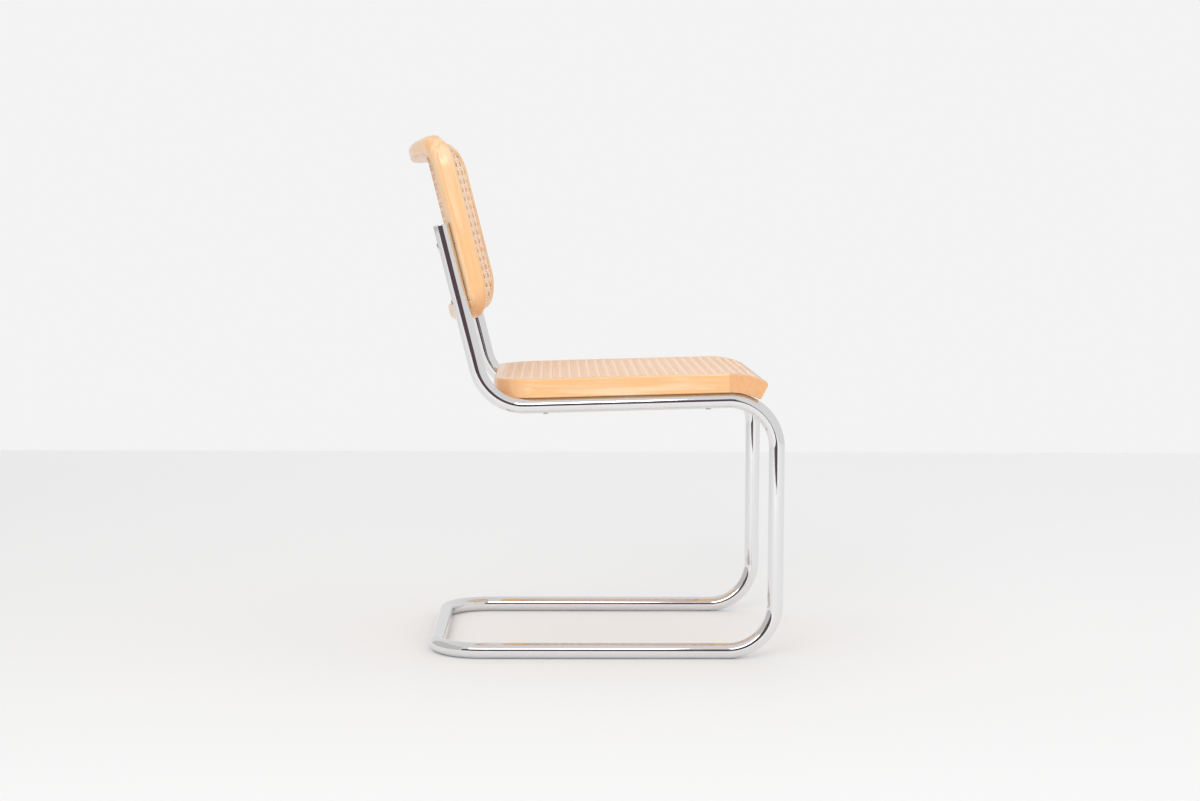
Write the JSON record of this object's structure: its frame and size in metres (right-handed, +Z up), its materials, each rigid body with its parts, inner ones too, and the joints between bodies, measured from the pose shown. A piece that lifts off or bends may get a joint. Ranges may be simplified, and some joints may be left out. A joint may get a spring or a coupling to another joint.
{
  "type": "cantilever dining chair",
  "caption": "Armless cantilever chair: a bent chromed tube carries a beech seat frame and a bowed back frame, both filled with woven cane.",
  "frame": {"origin": "on the floor, under the middle of the chair's overall width and depth", "axes": "+Z up, -Y the way the sitter faces, +X to the sitter's left"},
  "size_m": [0.46, 0.6016, 0.8216],
  "materials": {
    "chrome": "polished chrome plating on bent steel tube",
    "screw_steel": "plated slotted raised-head wood screws",
    "beech": "pale beech under a clear satin to gloss lacquer",
    "dowel": "plain beech dowels, glued",
    "reed": "round-cornered reed strip, lacquered",
    "cane": "woven rattan cane with octagonal holes, clear lacquer"
  },
  "bodies": {
    "root": {"back_bottom_rail": "beech", "back_cane": "cane", "back_dowels_bottom": "dowel", "back_dowels_top": "dowel", "back_screws_left": "screw_steel", "back_screws_right": "screw_steel", "back_spline": "reed", "back_stile_left": "beech", "back_stile_right": "beech", "back_top_rail": "beech", "post_cap_left": "chrome", "post_cap_right": "chrome", "seat_cane": "cane", "seat_dowels_front": "dowel", "seat_dowels_rear": "dowel", "seat_front_rail": "beech", "seat_rear_rail": "beech", "seat_screws_left": "screw_steel", "seat_screws_right": "screw_steel", "seat_side_rail_left": "beech", "seat_side_rail_right": "beech", "seat_spline": "reed", "tube_frame": "chrome"}
  },
  "joints": []
}
